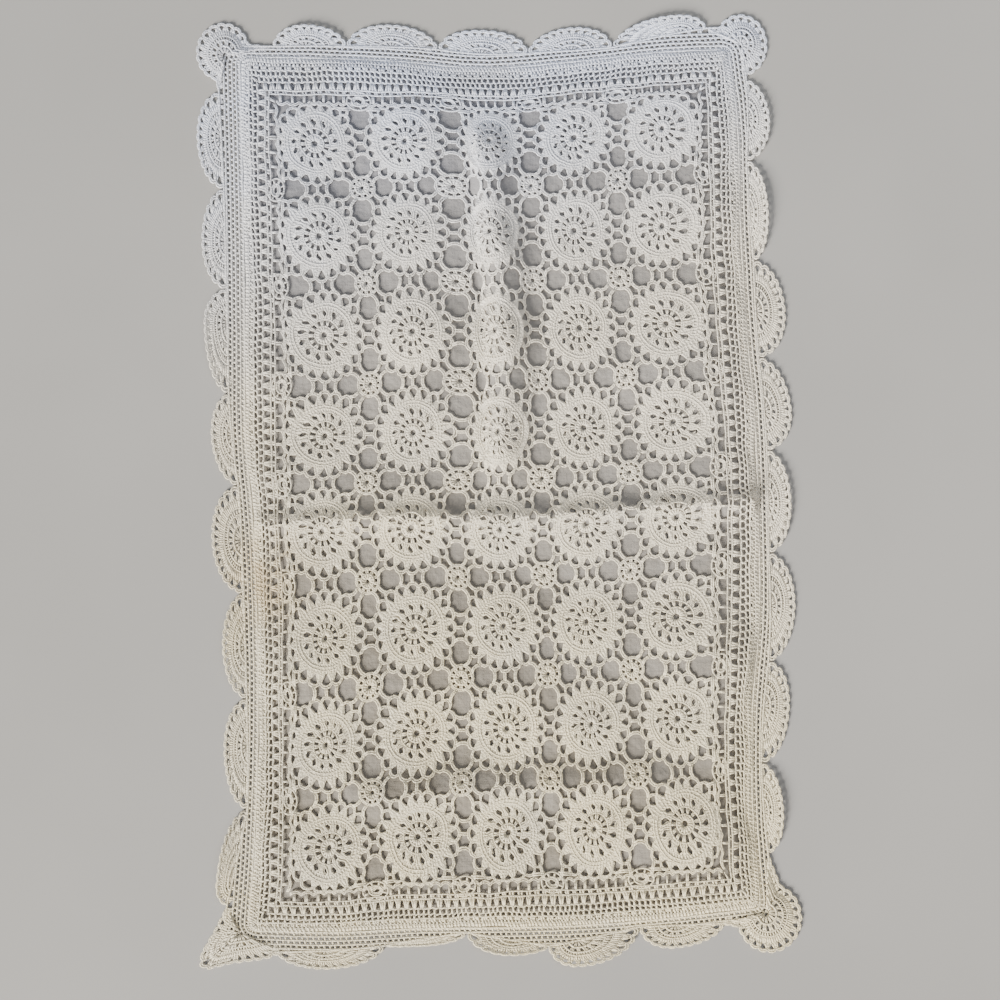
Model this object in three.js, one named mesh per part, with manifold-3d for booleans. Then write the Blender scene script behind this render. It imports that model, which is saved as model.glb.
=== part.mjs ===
// A crochet pillow sham, empty and lying face up on a flat surface, in millimetres.
// Four cloth pieces: a plain cotton back, a cotton lining, the crocheted face that
// lies on the lining, and the scalloped lace edging worked all round the seam.
// X runs across the sham, Y along it, and Z up from the surface.

import * as THREE from 'three';
import { mergeGeometries, mergeVertices } from 'three/addons/utils/BufferGeometryUtils.js';
import Module from 'manifold-3d';

// Driving dimensions
const columns = 5; // crocheted wheels across
const rows = 8; // crocheted wheels along
const pitch = 86; // stitch units from one wheel to the next
const margin = 75; // stitch units from the seam to the first wheel's centre
const cornerRadius = 6; // stitch units
const backThickness = 1;
const liningThickness = 1;
const crochetThickness = 2;
const layerGap = 0.3; // between two layers of cloth
const seamGap = 0.4; // between the case and its edging, measured in the plane
const swell = 4; // how far the slack face stands above its seams
const swellReach = 45; // stitch units from the seam to the full swell
const creaseFade = 40; // stitch units over which a crease dies away at its ends
const gapOffset = 21.5; // stitch units from a small rosette to the large gap beside it
const gapLength = 17; // stitch units, along the line between two rosettes
const gapWidth = 19.6; // stitch units, across that line
const gapShoulder = 0.45; // share of half a gap's size at which its ends begin to narrow
const cutterDepth = 100; // more than the whole height of the sham
const arcSteps = 5; // straight facets in each half of a scallop
const fanSteps = 14; // straight facets round a corner fan
const shortEdge = 1; // an edge of the seam with less than this along an axis can't be looked up by it
const weldTolerance = 1e-3;

const caseWidth = 2 * margin + ( columns - 1 ) * pitch;
const caseLength = 2 * margin + ( rows - 1 ) * pitch;

// Where the side seams lie: a row for each corner and each row of wheels, bottom to top
const sideSeams = [
	{ leftX: - 251, leftY: - 445, rightX: 266, rightY: - 423 },
	{ leftX: - 246, leftY: - 369, rightX: 259, rightY: - 336 },
	{ leftX: - 243, leftY: - 264, rightX: 259, rightY: - 230 },
	{ leftX: - 244, leftY: - 157, rightX: 267, rightY: - 128 },
	{ leftX: - 249, leftY: - 45, rightX: 267, rightY: - 23 },
	{ leftX: - 258, leftY: 55, rightX: 264, rightY: 76 },
	{ leftX: - 260, leftY: 160, rightX: 256, rightY: 176 },
	{ leftX: - 262, leftY: 262, rightX: 251, rightY: 280 },
	{ leftX: - 265, leftY: 362, rightX: 249, rightY: 380 },
	{ leftX: - 268, leftY: 452, rightX: 240, rightY: 460 },
];

// Where the end seams lie: a row for each corner and each column of wheels, left to right
const endSeams = [
	{ bottomX: - 251, bottomY: - 445, topX: - 268, topY: 452 },
	{ bottomX: - 168, bottomY: - 447, topX: - 192, topY: 451 },
	{ bottomX: - 78, bottomY: - 443, topX: - 100, topY: 447 },
	{ bottomX: 12, bottomY: - 442, topX: - 14, topY: 440 },
	{ bottomX: 100, bottomY: - 439, topX: 79, topY: 447 },
	{ bottomX: 192, bottomY: - 431, topX: 170, topY: 457 },
	{ bottomX: 266, bottomY: - 423, topX: 240, topY: 460 },
];

// How far the wheels have drifted from an even spacing between the seams, in mm: a row for
// each row of wheels, bottom to top, at its first, middle and last wheel
const wheelDrift = [
	{ firstX: - 4, firstY: 7, middleX: 0, middleY: 15, lastX: 2, lastY: 7 },
	{ firstX: - 10, firstY: 4, middleX: - 2, middleY: 15, lastX: - 4, lastY: 7 },
	{ firstX: - 11, firstY: 6, middleX: - 8, middleY: 15, lastX: - 13, lastY: 7 },
	{ firstX: - 10, firstY: 3, middleX: - 9, middleY: 6, lastX: - 11, lastY: 3 },
	{ firstX: 0, firstY: 1, middleX: - 4, middleY: 7, lastX: - 10, lastY: 1 },
	{ firstX: 3, firstY: 0, middleX: - 2, middleY: 9, lastX: - 10, lastY: 1 },
	{ firstX: 0, firstY: 1, middleX: - 3, middleY: 9, lastX: - 10, lastY: - 1 },
	{ firstX: - 1, firstY: - 2, middleX: - 2, middleY: 4, lastX: - 8, lastY: 0 },
];

// Creases across the face, in stitch units: the three parts of the lengthwise ridge, the broad
// swells under it and to its left, the fold across the middle, and a wave near the bottom. Spreads
// are to the left and right of from-to, and a crest under 1 is sharper than a plain wave.
const creases = [
	{ fromU: 238, fromV: 668, toU: 246, toV: 612, height: 9, leftSpread: 40, rightSpread: 26, crest: 1 },
	{ fromU: 252, fromV: 572, toU: 256, toV: 506, height: 12, leftSpread: 44, rightSpread: 27, crest: 1 },
	{ fromU: 256, fromV: 466, toU: 248, toV: 404, height: 9.5, leftSpread: 42, rightSpread: 27, crest: 1 },
	{ fromU: 268, fromV: 680, toU: 268, toV: 450, height: 3.5, leftSpread: 120, rightSpread: 60, crest: 1 },
	{ fromU: 176, fromV: 690, toU: 178, toV: 440, height: 4, leftSpread: 60, rightSpread: 74, crest: 1 },
	{ fromU: 10, fromV: 343, toU: 484, toV: 343, height: 6.5, leftSpread: 20, rightSpread: 26, crest: 0.6 },
	{ fromU: 115, fromV: 112, toU: 390, toV: 112, height: 4, leftSpread: 26, rightSpread: 24, crest: 0.8 },
];

// The left side of the ridge is so steep that its wheels look narrow. These stitches are drawn in
// towards its middle: by most at peak stitch units from it, and by nothing outside.
const pinch = {
	middle: 247,
	peak: 33,
	outside: 58,
	startV: 335,
	fullV: 415,
	fadeV: 695,
	endV: 742,
	leftSize: 8.5,
	rightSize: 2.5,
};

// Lines of the face at which it may bend, in stitch units
const bendLinesU = [
	0, 6, 30, 75, 118, 161, 204, 223, 236, 250, 263, 280, 300, 333, 376, 419, 464, 488, 494,
];
const bendLinesV = [
	0, 6, 30, 75, 112, 138, 161, 247, 318, 333, 343, 353, 369, 419, 505, 591, 677, 722, 746, 752,
];

// Scallops of the edging, anticlockwise from the bottom left corner. The tip and the dip
// after it lie so far along the seam and so far out from it; each side starts at a dip.
const bottomScallops = {
	firstDip: { dipAt: - 223, dipOut: 22 },
	tips: [
		{ tipAt: - 175, tipOut: 38, lift: 0, dipAt: - 114, dipOut: 17 },
		{ tipAt: - 81, tipOut: 19, lift: 0, dipAt: - 31, dipOut: 6 },
		{ tipAt: 16, tipOut: 29, lift: 2, dipAt: 52, dipOut: 21 },
		{ tipAt: 81, tipOut: 42, lift: 3, dipAt: 144, dipOut: 7 },
		{ tipAt: 181, tipOut: 32, lift: 0, dipAt: 230, dipOut: 12 },
	],
};
const rightScallops = {
	firstDip: { dipAt: - 369, dipOut: 14 },
	tips: [
		{ tipAt: - 327, tipOut: 32, lift: 3, dipAt: - 278, dipOut: 11 },
		{ tipAt: - 221, tipOut: 39, lift: 0, dipAt: - 175, dipOut: 14 },
		{ tipAt: - 118, tipOut: 38, lift: 0, dipAt: - 64, dipOut: 11 },
		{ tipAt: - 12, tipOut: 35, lift: 2, dipAt: 42, dipOut: 12 },
		{ tipAt: 82, tipOut: 40, lift: 0, dipAt: 138, dipOut: 11 },
		{ tipAt: 186, tipOut: 43, lift: 0, dipAt: 239, dipOut: 13 },
		{ tipAt: 288, tipOut: 30, lift: 4, dipAt: 344, dipOut: 9 },
		{ tipAt: 389, tipOut: 35, lift: 2, dipAt: 429, dipOut: 16 },
	],
};
const topScallops = {
	firstDip: { dipAt: 218, dipOut: 25 },
	tips: [
		{ tipAt: 191, tipOut: 39, lift: 3, dipAt: 120, dipOut: 12 },
		{ tipAt: 76, tipOut: 38, lift: 0, dipAt: 32, dipOut: 15 },
		{ tipAt: - 18, tipOut: 42, lift: 0, dipAt: - 62, dipOut: 18 },
		{ tipAt: - 111, tipOut: 40, lift: 0, dipAt: - 158, dipOut: 15 },
		{ tipAt: - 201, tipOut: 36, lift: 2, dipAt: - 235, dipOut: 13 },
	],
};
const leftScallops = {
	firstDip: { dipAt: 416, dipOut: 24 },
	tips: [
		{ tipAt: 369, tipOut: 48, lift: 0, dipAt: 314, dipOut: 21 },
		{ tipAt: 259, tipOut: 45, lift: 0, dipAt: 209, dipOut: 20 },
		{ tipAt: 175, tipOut: 43, lift: 2, dipAt: 100, dipOut: 18 },
		{ tipAt: 58, tipOut: 37, lift: 0, dipAt: 5, dipOut: 13 },
		{ tipAt: - 51, tipOut: 45, lift: 0, dipAt: - 106, dipOut: 15 },
		{ tipAt: - 160, tipOut: 37, lift: 2, dipAt: - 213, dipOut: 13 },
		{ tipAt: - 260, tipOut: 36, lift: 0, dipAt: - 325, dipOut: 10 },
		{ tipAt: - 401, tipOut: 37, lift: 4, dipAt: - 421, dipOut: 25 },
	],
};

// Fans at three corners: part ellipses, turned through from-to degrees anticlockwise
const cornerFans = {
	bottomRight: { x: 276, y: - 434, radiusX: 33, radiusY: 35, from: 195, to: 430 },
	topRight: { x: 254, y: 466, radiusX: 28, radiusY: 33, from: - 85, to: 155 },
	topLeft: { x: - 287, y: 459, radiusX: 28, radiusY: 31, from: 15, to: 255 },
};

// The fan at the fourth corner is folded over on itself, and its outline is a point
const foldedCorner = [
	{ x: - 287, y: - 447 },
	{ x: - 300, y: - 469 },
	{ x: - 302, y: - 482 },
	{ x: - 295, y: - 486 },
	{ x: - 271, y: - 480 },
	{ x: - 234, y: - 475 },
];

// A smooth curve through the named columns of a table, one row at each knot
function curveThrough( knots, table, names ) {

	const values = table.flatMap( ( row ) => names.map( ( name ) => row[ name ] ) );
	const spline = new THREE.CubicInterpolant( knots, values, names.length );
	return ( t ) => Array.from( spline.evaluate( t ) );

}

function wheelLines( count, length ) {

	const centres = Array.from( { length: count }, ( _, i ) => margin + i * pitch );
	return [ 0, ...centres, length ];

}

const sideCurves = curveThrough(
	wheelLines( rows, caseLength ),
	sideSeams,
	[ 'leftX', 'leftY', 'rightX', 'rightY' ],
);
const endCurves = curveThrough(
	wheelLines( columns, caseWidth ),
	endSeams,
	[ 'bottomX', 'bottomY', 'topX', 'topY' ],
);

const noDrift = { firstX: 0, firstY: 0, middleX: 0, middleY: 0, lastX: 0, lastY: 0 };
const driftCurves = curveThrough(
	wheelLines( rows, caseLength ),
	[ noDrift, ...wheelDrift, noDrift ],
	[ 'firstX', 'middleX', 'lastX', 'firstY', 'middleY', 'lastY' ],
);
const driftKnots = [ 0, margin, caseWidth / 2, caseWidth - margin, caseWidth ];

// The drift at a stitch: nothing at the seams, and smooth between the wheels of the table
function driftOf( u, v ) {

	const [ firstX, middleX, lastX, firstY, middleY, lastY ] = driftCurves( v );
	const across = [ 0, 0, firstX, firstY, middleX, middleY, lastX, lastY, 0, 0 ];
	return Array.from( new THREE.CubicInterpolant( driftKnots, across, 2 ).evaluate( u ) );

}

// Draws the stitches near each corner in, so that the case's corners are rounded
function roundCorners( u, v ) {

	const nearU = THREE.MathUtils.clamp( u, cornerRadius, caseWidth - cornerRadius );
	const nearV = THREE.MathUtils.clamp( v, cornerRadius, caseLength - cornerRadius );
	const du = u - nearU;
	const dv = v - nearV;
	const reach = Math.hypot( du, dv );
	const scale = reach > 0 ? Math.max( Math.abs( du ), Math.abs( dv ) ) / reach : 1;
	return [ nearU + du * scale, nearV + dv * scale ];

}

// How far the stitches of the ridge are drawn in towards its middle
function pinched( u, v ) {

	const { smoothstep } = THREE.MathUtils;
	const away = Math.abs( u - pinch.middle );
	const size = u < pinch.middle ? pinch.leftSize : - pinch.rightSize;
	const rise = Math.sin( Math.PI / 2 * Math.min( away / pinch.peak, 1 ) ) ** 2;
	const across = rise * ( 1 - smoothstep( away, pinch.peak, pinch.outside ) );
	const along = smoothstep( v, pinch.startV, pinch.fullV ) * ( 1 - smoothstep( v, pinch.fadeV, pinch.endV ) );
	return size * across * along;

}

// The place in the plane of the stitch at u across and v along: a patch between four seams
function placeOf( u, v ) {

	[ u, v ] = roundCorners( u, v );
	const [ leftX, leftY, rightX, rightY ] = sideCurves( v );
	const [ bottomX, bottomY, topX, topY ] = endCurves( u );
	const s = u / caseWidth;
	const t = v / caseLength;
	const first = sideSeams[ 0 ];
	const last = sideSeams[ sideSeams.length - 1 ];
	const between = ( left, right, bottom, top ) => ( 1 - s ) * left + s * right + ( 1 - t ) * bottom + t * top;
	const fromCorners = ( left, right ) => ( 1 - t ) * ( ( 1 - s ) * first[ left ] + s * first[ right ] )
		+ t * ( ( 1 - s ) * last[ left ] + s * last[ right ] );
	const [ driftX, driftY ] = driftOf( u, v );
	return new THREE.Vector2(
		between( leftX, rightX, bottomX, topX ) - fromCorners( 'leftX', 'rightX' ) + driftX + pinched( u, v ),
		between( leftY, rightY, bottomY, topY ) - fromCorners( 'leftY', 'rightY' ) + driftY,
	);

}

// The height of one crease at a stitch: a soft bell across it, fading at both ends
function creaseHeight( crease, u, v ) {

	const start = new THREE.Vector2( crease.fromU, crease.fromV );
	const run = new THREE.Vector2( crease.toU, crease.toV ).sub( start );
	const length = run.length();
	const offset = new THREE.Vector2( u, v ).sub( start );
	const along = offset.dot( run ) / length;
	const across = run.cross( offset ) / length;
	const spread = across > 0 ? crease.leftSpread : crease.rightSpread;
	const beyond = Math.max( - along, along - length, 0 );
	const bell = ( x ) => 0.5 + 0.5 * Math.cos( Math.PI * Math.min( x, 1 ) );
	return crease.height * bell( Math.abs( across / spread ) ** crease.crest ) * bell( beyond / creaseFade );

}

// How far the face and lining stand above the way they would lie if pressed flat
function foldHeight( u, v ) {

	const fromSeam = Math.min( u, caseWidth - u, v, caseLength - v );
	const slack = swell * THREE.MathUtils.smoothstep( fromSeam, 0, swellReach );
	const folds = creases.reduce( ( sum, crease ) => sum + creaseHeight( crease, u, v ), 0 );
	return Math.max( slack + folds * Math.min( fromSeam / cornerRadius, 1 ), 0 );

}

// Turns the diagonals of a box's lower face, so that it bends along the same lines as the upper one
function matchDiagonals( geometry ) {

	const index = geometry.getIndex().array;
	const lower = geometry.groups[ 5 ];
	for ( let i = lower.start; i < lower.start + lower.count; i += 6 ) {

		const [ a, b, d, , c ] = index.slice( i, i + 5 );
		index.set( [ a, b, c, a, c, d ], i );

	}

}

// A sheet over the whole case that follows the folds, its underside at the given height
function foldedSheet( underside, thickness ) {

	const across = bendLinesU.length - 1;
	const along = bendLinesV.length - 1;
	const geometry = new THREE.BoxGeometry( across, along, 1, across, along, 1 );
	matchDiagonals( geometry );
	const position = geometry.getAttribute( 'position' );
	for ( let i = 0; i < position.count; i ++ ) {

		const u = bendLinesU[ Math.round( position.getX( i ) + across / 2 ) ];
		const v = bendLinesV[ Math.round( position.getY( i ) + along / 2 ) ];
		const place = placeOf( u, v );
		const level = underside + foldHeight( u, v ) + ( position.getZ( i ) > 0 ? thickness : 0 );
		position.setXYZ( i, place.x, place.y, level );

	}

	return geometry;

}

// The seam as a closed outline, anticlockwise from the bottom left corner
function seamOutline() {

	const bottom = bendLinesU.slice( 0, - 1 ).map( ( u ) => placeOf( u, 0 ) );
	const right = bendLinesV.slice( 0, - 1 ).map( ( v ) => placeOf( caseWidth, v ) );
	const top = bendLinesU.slice( 1 ).reverse().map( ( u ) => placeOf( u, caseLength ) );
	const left = bendLinesV.slice( 1 ).reverse().map( ( v ) => placeOf( 0, v ) );
	return [ ...bottom, ...right, ...top, ...left ];

}

// The same outline moved outwards by a distance, corner by corner
function grownOutline( outline, distance ) {

	return outline.map( ( point, i ) => {

		const before = outline[ ( i + outline.length - 1 ) % outline.length ];
		const after = outline[ ( i + 1 ) % outline.length ];
		const arriving = point.clone().sub( before ).normalize();
		const leaving = after.clone().sub( point ).normalize();
		const outwards = new THREE.Vector2( arriving.y + leaving.y, - arriving.x - leaving.x ).normalize();
		const sharpness = outwards.dot( new THREE.Vector2( arriving.y, - arriving.x ) );
		return point.clone().addScaledVector( outwards, distance / sharpness );

	} );

}

// How to turn a distance along a side and a distance out from its seam into a place
const besideSeam = {
	bottom: ( at, out ) => new THREE.Vector2( at, seamBeside( 'x', at, ( point ) => point.y < 0 ).y - out ),
	right: ( at, out ) => new THREE.Vector2( seamBeside( 'y', at, ( point ) => point.x > 0 ).x + out, at ),
	top: ( at, out ) => new THREE.Vector2( at, seamBeside( 'x', at, ( point ) => point.y > 0 ).y + out ),
	left: ( at, out ) => new THREE.Vector2( seamBeside( 'y', at, ( point ) => point.x < 0 ).x - out, at ),
};

// The point of the seam outline whose x or y is the given one, on the side that is asked for
function seamBeside( axis, value, onSide ) {

	const outline = seamOutline();
	const edges = outline.map( ( point, i ) => [ point, outline[ ( i + 1 ) % outline.length ] ] );
	const crossed = edges.filter( ( [ a, b ] ) => onSide( a ) && onSide( b )
		&& ( a[ axis ] - value ) * ( b[ axis ] - value ) <= 0 && Math.abs( a[ axis ] - b[ axis ] ) > shortEdge );
	const [ a, b ] = crossed[ 0 ];
	return a.clone().lerp( b, ( value - a[ axis ] ) / ( b[ axis ] - a[ axis ] ) );

}

// One side of the edging: a quarter ellipse up to each tip and another down to the dip
function scallopedSide( side, scallops ) {

	const place = besideSeam[ side ];
	const points = [];
	let dip = scallops.firstDip;
	for ( const tip of scallops.tips ) {

		for ( let i = 0; i < 2 * arcSteps; i ++ ) {

			const foot = i < arcSteps ? dip : tip;
			const angle = Math.PI * i / ( 2 * arcSteps );
			const ahead = Math.sign( tip.tipAt - dip.dipAt );
			const at = tip.tipAt - ahead * Math.cos( angle ) * Math.abs( tip.tipAt - foot.dipAt );
			const out = foot.dipOut + ( tip.tipOut - foot.dipOut ) * Math.sin( angle );
			const point = place( at, out );
			points.push( new THREE.Vector3( point.x, point.y, tip.lift * Math.sin( angle ) ) );

		}

		dip = tip;

	}

	const last = place( dip.dipAt, dip.dipOut );
	points.push( new THREE.Vector3( last.x, last.y, 0 ) );
	return points;

}

function cornerFan( fan ) {

	return Array.from( { length: fanSteps + 1 }, ( _, i ) => {

		const angle = THREE.MathUtils.degToRad( THREE.MathUtils.lerp( fan.from, fan.to, i / fanSteps ) );
		const x = fan.x + fan.radiusX * Math.cos( angle );
		const y = fan.y + fan.radiusY * Math.sin( angle );
		return new THREE.Vector3( x, y, 0 );

	} );

}

// The lace edging: a flat strip from the seam out to the scallops, with lifted tips
function edgingSheet() {

	const outer = [
		...scallopedSide( 'bottom', bottomScallops ),
		...cornerFan( cornerFans.bottomRight ),
		...scallopedSide( 'right', rightScallops ),
		...cornerFan( cornerFans.topRight ),
		...scallopedSide( 'top', topScallops ),
		...cornerFan( cornerFans.topLeft ),
		...scallopedSide( 'left', leftScallops ),
		...foldedCorner.map( ( point ) => new THREE.Vector3( point.x, point.y, 0 ) ),
	];
	const shape = new THREE.Shape( outer.map( ( point ) => new THREE.Vector2( point.x, point.y ) ) );
	shape.holes.push( new THREE.Path( grownOutline( seamOutline(), seamGap ) ) );
	const geometry = new THREE.ExtrudeGeometry( shape, { depth: crochetThickness, bevelEnabled: false } );
	const place = ( x, y ) => Math.fround( x ) + ',' + Math.fround( y );
	const liftAt = new Map( outer.map( ( point ) => [ place( point.x, point.y ), point.z ] ) );
	const position = geometry.getAttribute( 'position' );
	for ( let i = 0; i < position.count; i ++ ) {

		const lift = liftAt.get( place( position.getX( i ), position.getY( i ) ) ) ?? 0;
		position.setZ( i, position.getZ( i ) + lift );

	}

	return geometry;

}

function backSheet() {

	const shape = new THREE.Shape( seamOutline() );
	return new THREE.ExtrudeGeometry( shape, { depth: backThickness, bevelEnabled: false } );

}

// A six-sided cutter for one large gap; the gap's length lies along u or along v
function gapCutter( u, v, lengthAlongU ) {

	const halfU = ( lengthAlongU ? gapLength : gapWidth ) / 2;
	const halfV = ( lengthAlongU ? gapWidth : gapLength ) / 2;
	const near = gapShoulder;
	const corners = lengthAlongU
		? [ [ 1, near ], [ 0, 1 ], [ - 1, near ], [ - 1, - near ], [ 0, - 1 ], [ 1, - near ] ]
		: [ [ near, 1 ], [ - near, 1 ], [ - 1, 0 ], [ - near, - 1 ], [ near, - 1 ], [ 1, 0 ] ];
	const shape = new THREE.Shape( corners.map( ( [ a, b ] ) => placeOf( u + a * halfU, v + b * halfV ) ) );
	return new THREE.ExtrudeGeometry( shape, { depth: cutterDepth, bevelEnabled: false } );

}

// The large gaps: two on each line between neighbouring rosettes
function gapCutters() {

	const cutters = [];
	for ( let column = 0; column < columns; column ++ ) {

		for ( let row = 0; row < rows; row ++ ) {

			const u = margin + column * pitch;
			const v = margin + row * pitch;
			const shift = pitch / 2 - gapOffset;
			for ( const side of [ - shift, shift ] ) {

				if ( row > 0 ) cutters.push( gapCutter( u + side, v - pitch / 2, true ) );
				if ( column > 0 ) cutters.push( gapCutter( u - pitch / 2, v + side, false ) );

			}

		}

	}

	return cutters;

}

function welded( geometry ) {

	geometry.deleteAttribute( 'normal' );
	geometry.deleteAttribute( 'uv' );
	return mergeVertices( geometry, weldTolerance );

}

const wasm = await Module();
wasm.setup();

function solidOf( geometry ) {

	const closed = welded( geometry );
	return new wasm.Manifold( new wasm.Mesh( {
		numProp: 3,
		vertProperties: new Float32Array( closed.getAttribute( 'position' ).array ),
		triVerts: new Uint32Array( closed.getIndex().array ),
	} ) );

}

function geometryOf( solid ) {

	const mesh = solid.getMesh();
	const geometry = new THREE.BufferGeometry();
	geometry.setAttribute( 'position', new THREE.BufferAttribute( mesh.vertProperties, 3 ) );
	geometry.setIndex( new THREE.BufferAttribute( mesh.triVerts, 1 ) );
	return geometry;

}

const liningUnderside = backThickness + layerGap;
const crochetUnderside = liningUnderside + liningThickness + layerGap;

function crochetSheet() {

	const sheet = solidOf( foldedSheet( crochetUnderside, crochetThickness ) );
	const gaps = solidOf( mergeGeometries( gapCutters().map( welded ) ) );
	return geometryOf( sheet.subtract( gaps ) );

}

const yarnWhite = { color: 0xe9e7e1, roughness: 0.75, metalness: 0 };
const cottonGrey = { color: 0xbdbbb8, roughness: 0.9, metalness: 0 };

function addPiece( group, name, geometry, look ) {

	const piece = new THREE.Mesh( geometry, new THREE.MeshStandardMaterial( look ) );
	piece.name = name;
	group.add( piece );

}

const sham = new THREE.Group();
addPiece( sham, 'case_back', backSheet(), cottonGrey );
addPiece( sham, 'case_lining', foldedSheet( liningUnderside, liningThickness ), cottonGrey );
addPiece( sham, 'crochet_face', crochetSheet(), yarnWhite );
addPiece( sham, 'lace_edging', edgingSheet(), yarnWhite );

// The origin is under the middle of the whole outline
const outlineBox = new THREE.Box3().setFromObject( sham );
const middle = outlineBox.getCenter( new THREE.Vector3() );
sham.position.set( - middle.x, - middle.y, 0 );
sham.updateMatrixWorld( true );

export default sham;
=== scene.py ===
import math
import random
from functools import partial

import bmesh
import bpy
import numpy as np
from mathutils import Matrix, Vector


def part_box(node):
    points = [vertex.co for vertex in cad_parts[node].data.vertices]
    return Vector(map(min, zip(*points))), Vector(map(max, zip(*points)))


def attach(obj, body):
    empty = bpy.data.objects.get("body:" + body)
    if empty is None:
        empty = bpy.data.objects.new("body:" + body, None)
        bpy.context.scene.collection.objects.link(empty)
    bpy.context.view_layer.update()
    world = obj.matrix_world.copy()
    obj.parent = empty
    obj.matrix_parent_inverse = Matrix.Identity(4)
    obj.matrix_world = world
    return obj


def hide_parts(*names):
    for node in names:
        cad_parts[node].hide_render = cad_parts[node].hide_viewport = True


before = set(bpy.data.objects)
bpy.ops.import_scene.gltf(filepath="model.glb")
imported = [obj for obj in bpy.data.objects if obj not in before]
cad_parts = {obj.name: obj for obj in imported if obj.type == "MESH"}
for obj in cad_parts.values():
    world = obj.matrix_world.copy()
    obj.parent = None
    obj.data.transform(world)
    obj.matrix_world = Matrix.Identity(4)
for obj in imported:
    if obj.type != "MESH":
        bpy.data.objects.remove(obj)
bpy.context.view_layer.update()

# A crocheted king pillow sham, empty, lying face up. Cloth is laid out in stitch units,
# u across and v along from the bottom left corner of the case. Heights are in mm.

mm = 0.001
turn = 2 * math.pi
random.seed(5)
chance = np.random.default_rng(5)

case = {
    "columns": 5,
    "rows": 8,
    "pitch": 86,  # stitch units from wheel to wheel
    "margin": 75,  # stitch units from the seam to the first wheel
    "cornerRadius": 6,
    "backTop": 1.0,
    "liningTop": 2.3,
    "yarnBase": 2.6,  # the underside of the crochet
    "seamBase": 1.2,  # the same where it is worked into the seam
    "edgingBase": 0.2,  # the same at the edging's outer edge
    "panelInset": 3,  # stitch units from the seam to the panels' edges
    "swell": 4,  # the slack of the face over its seams
    "swellReach": 45,
    "thinning": 0.7,  # how much flatter the case lies beside its seams
    "thinningReach": 18,
    "creaseFade": 40,
    "edgeRoll": 4.5,  # stitch units that roll over the sides and the near end
    "rollFull": 18,
    "rollEnds": 40,
    "lastStitch": (-2, 4),  # where the crochet comes down to its seam
}
caseWidth = 2 * case["margin"] + (case["columns"] - 1) * case["pitch"]
caseLength = 2 * case["margin"] + (case["rows"] - 1) * case["pitch"]
sideLengths = {"bottom": caseWidth, "right": caseLength, "top": caseWidth, "left": caseLength}


def columnsOf(names, rows):
    return {name: np.array(values, float) for name, values in zip(names.split(), zip(*rows))}


# mm, a row for each corner and each row of wheels, bottom to top
sideSeams = columnsOf("leftX leftY rightX rightY", [
    (-251, -445, 266, -423),
    (-246, -369, 259, -336),
    (-243, -264, 259, -230),
    (-244, -157, 267, -128),
    (-249, -45, 267, -23),
    (-258, 55, 264, 76),
    (-260, 160, 256, 176),
    (-262, 262, 251, 280),
    (-265, 362, 249, 380),
    (-268, 452, 240, 460),
])

# mm, a row for each corner and each column of wheels, left to right
endSeams = columnsOf("bottomX bottomY topX topY", [
    (-251, -445, -268, 452),
    (-168, -447, -192, 451),
    (-78, -443, -100, 447),
    (12, -442, -14, 440),
    (100, -439, 79, 447),
    (192, -431, 170, 457),
    (266, -423, 240, 460),
])

# mm, how far the wheels have drifted from an even spacing, bottom to top between the seams
wheelDrift = columnsOf("firstX firstY middleX middleY lastX lastY", [
    (0, 0, 0, 0, 0, 0),
    (-4, 7, 0, 15, 2, 7),
    (-10, 4, -2, 15, -4, 7),
    (-11, 6, -8, 15, -13, 7),
    (-10, 3, -9, 6, -11, 3),
    (0, 1, -4, 7, -10, 1),
    (3, 0, -2, 9, -10, 1),
    (0, 1, -3, 9, -10, -1),
    (-1, -2, -2, 4, -8, 0),
    (0, 0, 0, 0, 0, 0),
])

# Where each crease starts and ends, its mm high, how far it spreads to the left and right of that way,
# and how sharp it is: 1 is round and less is sharper
creases = [
    ((238, 668), (246, 612), 9, 40, 26, 1),
    ((252, 572), (256, 506), 12, 44, 27, 1),
    ((256, 466), (248, 404), 9.5, 42, 27, 1),
    ((268, 680), (268, 450), 3.5, 120, 60, 1),
    ((176, 690), (178, 440), 4, 60, 74, 1),
    ((10, 343), (484, 343), 6.5, 20, 26, 0.6),
    ((115, 112), (390, 112), 4, 26, 24, 0.8),
]

# One side of the ridge stands so steep that its column of wheels looks narrow: stitch units, and mm
pinch = {
    "middle": 247, "peak": 33, "outside": 58,
    "from": 335, "full": 415, "fades": 695, "to": 742,
    "left": 8.5, "right": 2.5,
}


def smooth(low, high, x):
    t = np.clip((x - low) / (high - low), 0, 1)
    return t * t * (3 - 2 * t)


def curveThrough(knots, values, t):
    # a smooth curve through a value, or an array of values, at each knot
    knots, t = np.asarray(knots, float), np.asarray(t, float)
    values = np.stack([np.broadcast_to(value, t.shape) for value in values])
    spans = np.diff(knots).reshape((-1,) + (1,) * t.ndim)
    slopes = np.diff(values, axis=0) / spans
    tangents = np.concatenate([slopes[:1], (slopes[:-1] + slopes[1:]) / 2, slopes[-1:]])
    at = np.clip(np.searchsorted(knots, t, side="right") - 1, 0, len(knots) - 2)
    pick = lambda rows, index: np.take_along_axis(rows, index[None], 0)[0]
    span = knots[at + 1] - knots[at]
    p = (t - knots[at]) / span
    return ((2 * p ** 3 - 3 * p ** 2 + 1) * pick(values, at)
            + (p ** 3 - 2 * p ** 2 + p) * span * pick(tangents, at)
            + (3 * p ** 2 - 2 * p ** 3) * pick(values, at + 1)
            + (p ** 3 - p ** 2) * span * pick(tangents, at + 1))


def wheelLines(count, length):
    return [0, *(case["margin"] + i * case["pitch"] for i in range(count)), length]


rowLines = wheelLines(case["rows"], caseLength)
columnLines = wheelLines(case["columns"], caseWidth)
driftLines = [0, case["margin"], caseWidth / 2, caseWidth - case["margin"], caseWidth]


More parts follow.
